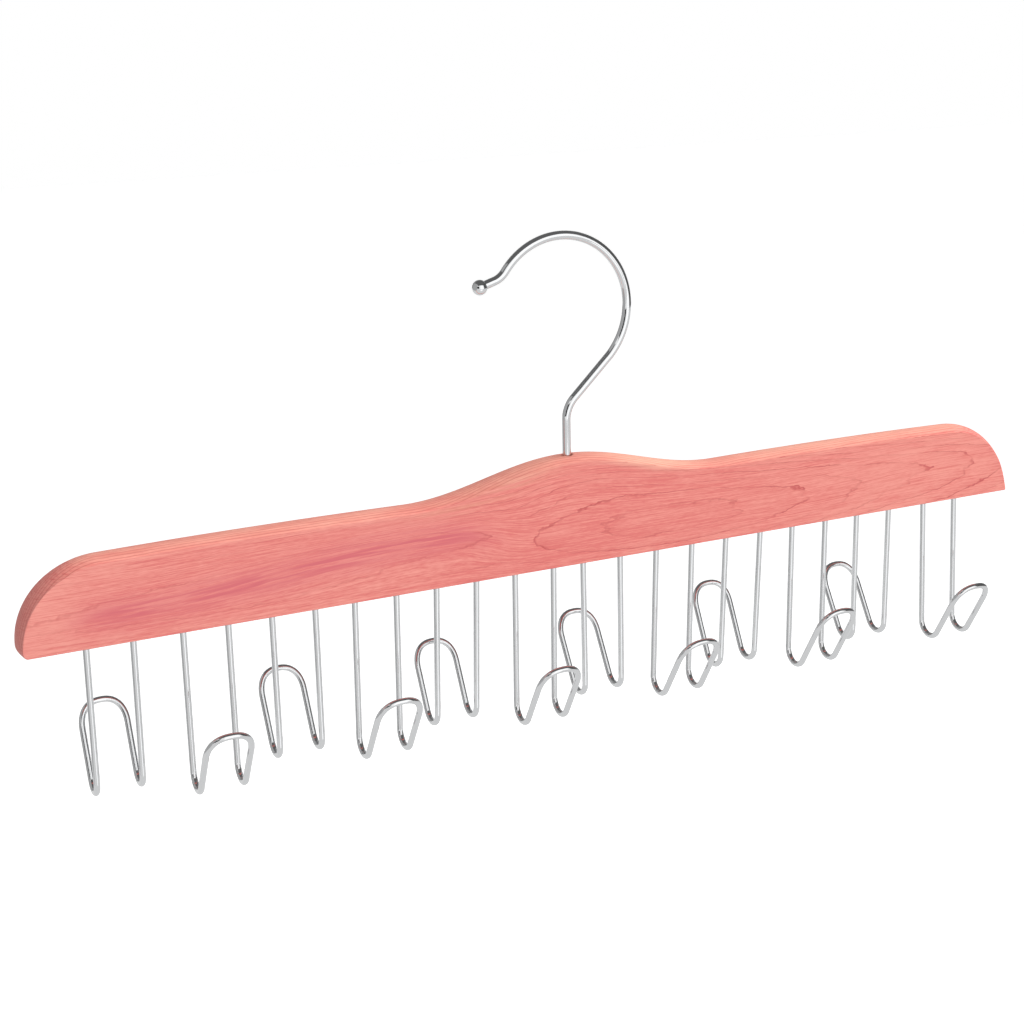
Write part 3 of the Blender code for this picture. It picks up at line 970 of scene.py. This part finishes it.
class HANGER_OT_washer(bpy.types.Operator):
    """Give the washer in the counterbore its finish"""

    bl_idname = "hanger.washer"
    bl_label = "Washer"

    def execute(self, context):
        """Put zinc plating on the frame's own washer."""
        washer = frame["nodes"]["hook_washer"]
        washer.data.materials.clear()
        zinc = context.scene.hanger_swivel.zinc
        washer.data.materials.append(turned_finish("zinc_plating", zinc, roughness=0.32))
        return {"FINISHED"}


class HANGER_OT_belt_hooks(bpy.types.Operator):
    """Make the belt hooks"""

    bl_idname = "hanger.belt_hooks"
    bl_label = "Belt hooks"

    def execute(self, context):
        """Draw each belt hook over its own node, with the bends that it was given by hand."""
        sizes = context.scene.hanger_belt_hooks
        metal = context.scene.hanger_swivel
        finish = chrome_finish("belt_hook_chrome", metal, roughness=0.06, seed=50)
        bends = zip(BELT_HOOKS, SIDE_LEANS, LIP_BENDS, LIP_STRETCHES)
        for node, side_lean, lip_bend, stretch in bends:
            low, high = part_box(node)
            spacing = high.x - low.x - sizes.wire
            faces_back = low.y + high.y > 0
            lip_lean = sizes.lip_lean + math.radians(lip_bend)
            side = belt_hook_side(sizes, BAR_LOW.z - low.z, lip_lean, stretch / MILLIMETRES)
            left = [(-spacing / 2, y, z) for y, z in side]
            right = [(spacing / 2, y, z) for y, z in reversed(side)]
            path = left + lip_arch(sizes, side[-1], spacing, lip_lean) + right
            sway = math.tan(math.radians(side_lean)) * (1 if faces_back else -1)
            path = [(x - sway * min(z + sizes.lean_start, 0), y, z) for x, y, z in path]
            row = math.copysign(sizes.row_offset, low.y + high.y)
            place = ((low.x + high.x) / 2, row, BAR_LOW.z)
            hook = bent_wire(f"{node}_wire", path, {
                "Wire diameter": sizes.wire, "Sides": sizes.sides, "Place": place,
                "Turn": 0.0 if faces_back else math.pi}, finish)
            finished(hook, node, "hanger")
        return {"FINISHED"}


def stage_plane(name, middle, across, rise, finish):
    """Add a card or floor that reaches this far from its middle."""
    bm = bmesh.new()
    corners = (middle - across - rise, middle + across - rise, middle + across + rise,
               middle - across + rise)
    bm.faces.new([bm.verts.new(corner) for corner in corners])
    mesh = mesh_from(name, bm)
    mesh.materials.append(finish)
    item = link(name, mesh)
    return item


def card(name, centre, normal, width, height, brightness):
    """Hang a card that only shows in polished metal, as round a studio table."""
    finish, nodes, _ = new_finish(name)
    sockets = {"Color": opaque([brightness] * 3)}
    nodes.surface(nodes.add("ShaderNodeEmission", "Emission", sockets=sockets))
    facing = Vector(normal).normalized()
    lies_flat = abs(facing.z) > 0.9
    up = Vector((0, 1, 0)) if lies_flat else Vector((0, 0, 1))
    across = up.cross(facing).normalized() * width / 2
    rise = facing.cross(across).normalized() * height / 2
    item = stage_plane(name, Vector(centre), across, rise, finish)
    item.visible_camera = False
    item.visible_diffuse = False
    item.visible_shadow = False


def lamp(name, place, target, size, power):
    """Add a soft square lamp that points at a target and doesn't show in metal."""
    light = bpy.data.lights.new(name, "AREA")
    light.size = size
    light.energy = power
    item = link(name, light)
    item.location = place
    item.rotation_euler = (Vector(target) - Vector(place)).to_track_quat("-Z", "Y").to_euler()
    item.visible_glossy = False


class HANGER_OT_stage(bpy.types.Operator):
    """Set up the floor, the lamps, the world and the camera"""

    bl_idname = "hanger.stage"
    bl_label = "Stage"

    def execute(self, context):
        """Build a plain white stage and set the camera at the photograph's angle."""
        scene = context.scene
        stage = scene.hanger_stage
        self.set_world(scene, stage)
        self.lay_floor(stage)
        self.hang_cards()
        target = (0.0, 0.0, -0.1)
        lamp("key_lamp", (2.20, -1.85, 0.95), target, 1.4, 62.0)
        lamp("fill_lamp", (-0.80, -1.0, 0.35), target, 0.6, 3.9)
        lamp("top_lamp", (0.2, 0.1, 1.1), target, 0.7, 5.8)
        lamp("side_lamp", (1.1, 0.15, 0.75), target, 0.4, 7.0)
        self.set_camera(scene, stage)
        scene.view_settings.view_transform = "Standard"
        return {"FINISHED"}

    def set_world(self, scene, stage):
        """Show white to the camera and in metal, and light everything softly."""
        world = bpy.data.worlds.new("studio")
        world.use_nodes = True
        scene.world = world
        nodes = Nodes(world.node_tree)
        background = world.node_tree.nodes["Background"]
        nodes.feed(background, "Color", WHITE)
        nodes.feed(background, "Strength", nodes.seen().lifted(stage.world))

    def lay_floor(self, stage):
        """Lay a white floor that keeps its shadows."""
        finish, nodes, shader = new_finish("pale_floor")
        cloud = nodes.noise(nodes.add("ShaderNodeTexCoord", "Object"), scale=3.0)
        pale, paler = opaque([0.80] * 3), opaque([0.82] * 3)
        nodes.feed(shader, "Base Color", nodes.blend(cloud, pale, paler))
        nodes.feed(shader, "Roughness", 0.9)
        glow = nodes.add("ShaderNodeEmission", "Emission", sockets={
            "Color": WHITE, "Strength": stage.floor_glow * nodes.seen()})
        nodes.surface(nodes.add("ShaderNodeAddShader", "Shader", sockets={
            "Shader": Value(shader.outputs[0]), "Shader_001": glow}))
        middle = Vector((0, 0, stage.floor_height))
        half = 8.0
        stage_plane("floor", middle, Vector((half, 0, 0)), Vector((0, half, 0)), finish)

    def hang_cards(self):
        """Hang the cards that polished metal shows: dark overhead, bright in front, grey beside."""
        card("ceiling_card", (0, 0, 1.3), (0, 0, -1), 3.2, 3.2, 0.13)
        card("table_card", (0, 0.9, -0.6), (0, 0, 1), 8.0, 6.2, 0.75)
        card("window_card", (0.40, -1.7, 0.44), (0, 1, 0), 1.56, 1.72, 1.3)
        card("low_window_card", (0.02, -0.62, -0.42), (0, 1, 0), 0.38, 0.36, 1.25)
        card("black_card", (-0.93, -1.05, 0.20), (0.675, 0.737, 0), 0.48, 0.76, 0.01)
        card("shade_card", (-1.23, -0.77, 0.25), (0.85, 0.53, 0), 0.40, 0.80, 0.08)
        card("left_card", (-1.0, 0.54, 0.30), (1, 0, 0), 1.92, 1.80, 0.42)
        card("right_card", (1.34, -0.67, 0.49), (-0.895, 0.446, 0), 1.20, 1.62, 0.10)
        card("far_right_card", (1.43, 0.45, 0.49), (-0.954, -0.300, 0), 1.24, 1.62, 0.12)
        card("back_card", (0, 1.55, 0.50), (0, -1, 0), 3.2, 1.60, 0.30)

    def set_camera(self, scene, stage):
        """Place the camera by its heading, tilt and roll."""
        camera = bpy.data.cameras.new("camera")
        camera.lens = stage.lens
        item = link("camera", camera)
        heading, tilt, roll = stage.heading, stage.tilt, stage.roll
        forward = Vector((math.sin(heading) * math.cos(tilt), math.cos(heading) * math.cos(tilt),
                          -math.sin(tilt)))
        level = Vector((math.cos(heading), -math.sin(heading), 0))
        upright = level.cross(forward)
        right = math.cos(roll) * level + math.sin(roll) * upright
        up = math.cos(roll) * upright - math.sin(roll) * level
        turn = Matrix((right, up, -forward)).transposed().to_4x4()
        item.matrix_world = Matrix.Translation(stage.camera) @ turn
        scene.camera = item


class HANGER_PT_panel(bpy.types.Panel):
    """Lists the hanger's pieces"""

    bl_idname = "HANGER_PT_panel"
    bl_label = "Belt hanger"
    bl_space_type = "VIEW_3D"
    bl_region_type = "UI"
    bl_category = "Hanger"

    def draw(self, context):
        """Show one button for each operator and the settings below them."""
        for operator in OPERATORS:
            self.layout.operator(operator.bl_idname)
        for name in SETTINGS:
            group = getattr(context.scene, name)
            box = self.layout.box()
            for key in group.__annotations__:
                box.prop(group, key)


OPERATORS = (HANGER_OT_bar, HANGER_OT_swivel_hook, HANGER_OT_ball, HANGER_OT_washer,
             HANGER_OT_belt_hooks, HANGER_OT_stage)
SETTINGS = {"hanger_bar": BarSettings, "hanger_swivel": SwivelSettings,
            "hanger_belt_hooks": BeltHookSettings, "hanger_stage": StageSettings}


def register():
    """Register the settings, the operators and the panel."""
    for group in (*SETTINGS.values(), *OPERATORS, HANGER_PT_panel):
        bpy.utils.register_class(group)
    for name, group in SETTINGS.items():
        setattr(bpy.types.Scene, name, PointerProperty(type=group))


def unregister():
    """Remove what register added."""
    for name in SETTINGS:
        delattr(bpy.types.Scene, name)
    for group in reversed((*SETTINGS.values(), *OPERATORS, HANGER_PT_panel)):
        bpy.utils.unregister_class(group)


def main():
    """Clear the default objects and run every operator."""
    register()
    for item in list(bpy.data.objects):
        if item.type in ("LIGHT", "CAMERA") or item.name == "Cube":
            bpy.data.objects.remove(item)
    for call in (bpy.ops.hanger.bar, bpy.ops.hanger.swivel_hook, bpy.ops.hanger.ball,
                 bpy.ops.hanger.washer, bpy.ops.hanger.belt_hooks, bpy.ops.hanger.stage):
        call()
    bpy.context.view_layer.update()


if __name__ == "__main__":
    main()
